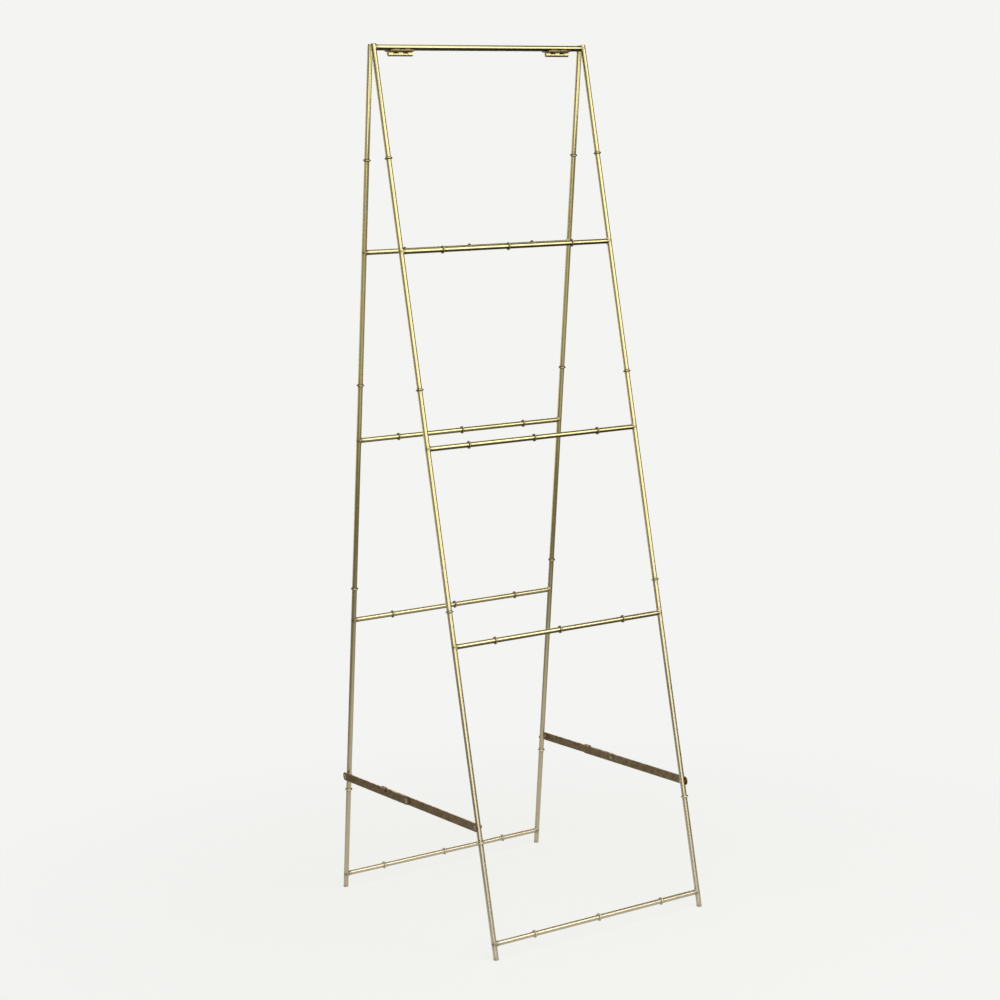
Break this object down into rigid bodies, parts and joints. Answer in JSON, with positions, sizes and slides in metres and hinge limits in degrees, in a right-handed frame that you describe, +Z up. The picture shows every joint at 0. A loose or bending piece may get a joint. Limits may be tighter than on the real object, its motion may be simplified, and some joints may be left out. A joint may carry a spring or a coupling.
{
  "type": "folding quilt rack",
  "caption": "Free-standing folding A-frame quilt rack in brass-finished steel tube with bamboo-style rings, hinged ladder frames, and a folding flat-bar stay on each side.",
  "frame": {"origin": "on the floor, in the middle of the four feet", "axes": "+Z up, +X to the right along the rails, -Y the front of the rack"},
  "size_m": [0.4804, 0.5636, 1.6245],
  "materials": {
    "brass_tube": "satin brass finish on steel tube, worn paler towards the feet",
    "brass_ring": "satin brass finish, brighter on the crest",
    "hinge_brass": "brass-plated butt hinge",
    "bronze_bar": "dark bronze finish on flat steel bar",
    "rivet_steel": "bright rivet steel",
    "glide_plastic": "moulded nylon in the tube colour"
  },
  "bodies": {
    "front_frame": {"front_left_leg": "brass_tube", "front_left_top_cap": "brass_tube", "front_left_foot_glide": "glide_plastic", "front_left_leg_ring_1": "brass_ring", "front_left_leg_ring_2": "brass_ring", "front_left_leg_ring_3": "brass_ring", "front_left_leg_ring_4": "brass_ring", "left_hinge_front_leaf": "hinge_brass", "front_right_leg": "brass_tube", "front_right_top_cap": "brass_tube", "front_right_foot_glide": "glide_plastic", "front_right_leg_ring_1": "brass_ring", "front_right_leg_ring_2": "brass_ring", "front_right_leg_ring_3": "brass_ring", "front_right_leg_ring_4": "brass_ring", "right_hinge_front_leaf": "hinge_brass", "front_top_rail": "brass_tube", "front_upper_rail": "brass_tube", "front_middle_rail": "brass_tube", "front_lower_rail": "brass_tube", "front_bottom_rail": "brass_tube", "left_hinge_pin": "hinge_brass", "left_stay_front_rivet": "rivet_steel", "right_hinge_pin": "hinge_brass", "right_stay_front_rivet": "rivet_steel"},
    "back_frame": {"back_left_leg": "brass_tube", "back_left_top_cap": "brass_tube", "back_left_foot_glide": "glide_plastic", "back_left_leg_ring_1": "brass_ring", "back_left_leg_ring_2": "brass_ring", "back_left_leg_ring_3": "brass_ring", "back_left_leg_ring_4": "brass_ring", "left_hinge_back_leaf": "hinge_brass", "back_right_leg": "brass_tube", "back_right_top_cap": "brass_tube", "back_right_foot_glide": "glide_plastic", "back_right_leg_ring_1": "brass_ring", "back_right_leg_ring_2": "brass_ring", "back_right_leg_ring_3": "brass_ring", "back_right_leg_ring_4": "brass_ring", "right_hinge_back_leaf": "hinge_brass", "back_top_rail": "brass_tube", "back_upper_rail": "brass_tube", "back_middle_rail": "brass_tube", "back_lower_rail": "brass_tube", "back_bottom_rail": "brass_tube", "left_stay_back_rivet": "rivet_steel", "left_stay_spacer_washer": "rivet_steel", "right_stay_back_rivet": "rivet_steel", "right_stay_spacer_washer": "rivet_steel"},
    "left_front_link": {"left_stay_front_link": "bronze_bar", "left_stay_elbow_rivet_tail": "rivet_steel"},
    "left_rear_link": {"left_stay_rear_link": "bronze_bar", "left_stay_elbow_rivet_head": "rivet_steel"},
    "right_front_link": {"right_stay_front_link": "bronze_bar", "right_stay_elbow_rivet_tail": "rivet_steel"},
    "right_rear_link": {"right_stay_rear_link": "bronze_bar", "right_stay_elbow_rivet_head": "rivet_steel"}
  },
  "joints": [
    {"name": "fold", "type": "hinge", "parent": "front_frame", "child": "back_frame", "pos_m": [0, 0, 1.6055], "axis": [-1, 0, 0], "range_deg": [0, 19]},
    {"name": "left_front_link_pivot", "type": "hinge", "parent": "front_frame", "child": "left_front_link", "pos_m": [0, -0.2377, 0.23474], "axis": [1, 0, 0], "range_deg": [0, 78.6]},
    {"name": "left_rear_link_pivot", "type": "hinge", "parent": "back_frame", "child": "left_rear_link", "pos_m": [0, 0.2377, 0.23474], "axis": [-1, 0, 0], "range_deg": [0, 78.6]},
    {"name": "right_front_link_pivot", "type": "hinge", "parent": "front_frame", "child": "right_front_link", "pos_m": [0, -0.2377, 0.23474], "axis": [1, 0, 0], "range_deg": [0, 78.6]},
    {"name": "right_rear_link_pivot", "type": "hinge", "parent": "back_frame", "child": "right_rear_link", "pos_m": [0, 0.2377, 0.23474], "axis": [-1, 0, 0], "range_deg": [0, 78.6]}
  ],
  "couplings": [
    {"joint": "left_front_link_pivot", "follows": "fold", "ratio": 4.1328},
    {"joint": "left_rear_link_pivot", "follows": "fold", "ratio": 4.1328},
    {"joint": "right_front_link_pivot", "follows": "fold", "ratio": 4.1328},
    {"joint": "right_rear_link_pivot", "follows": "fold", "ratio": 4.1328}
  ]
}
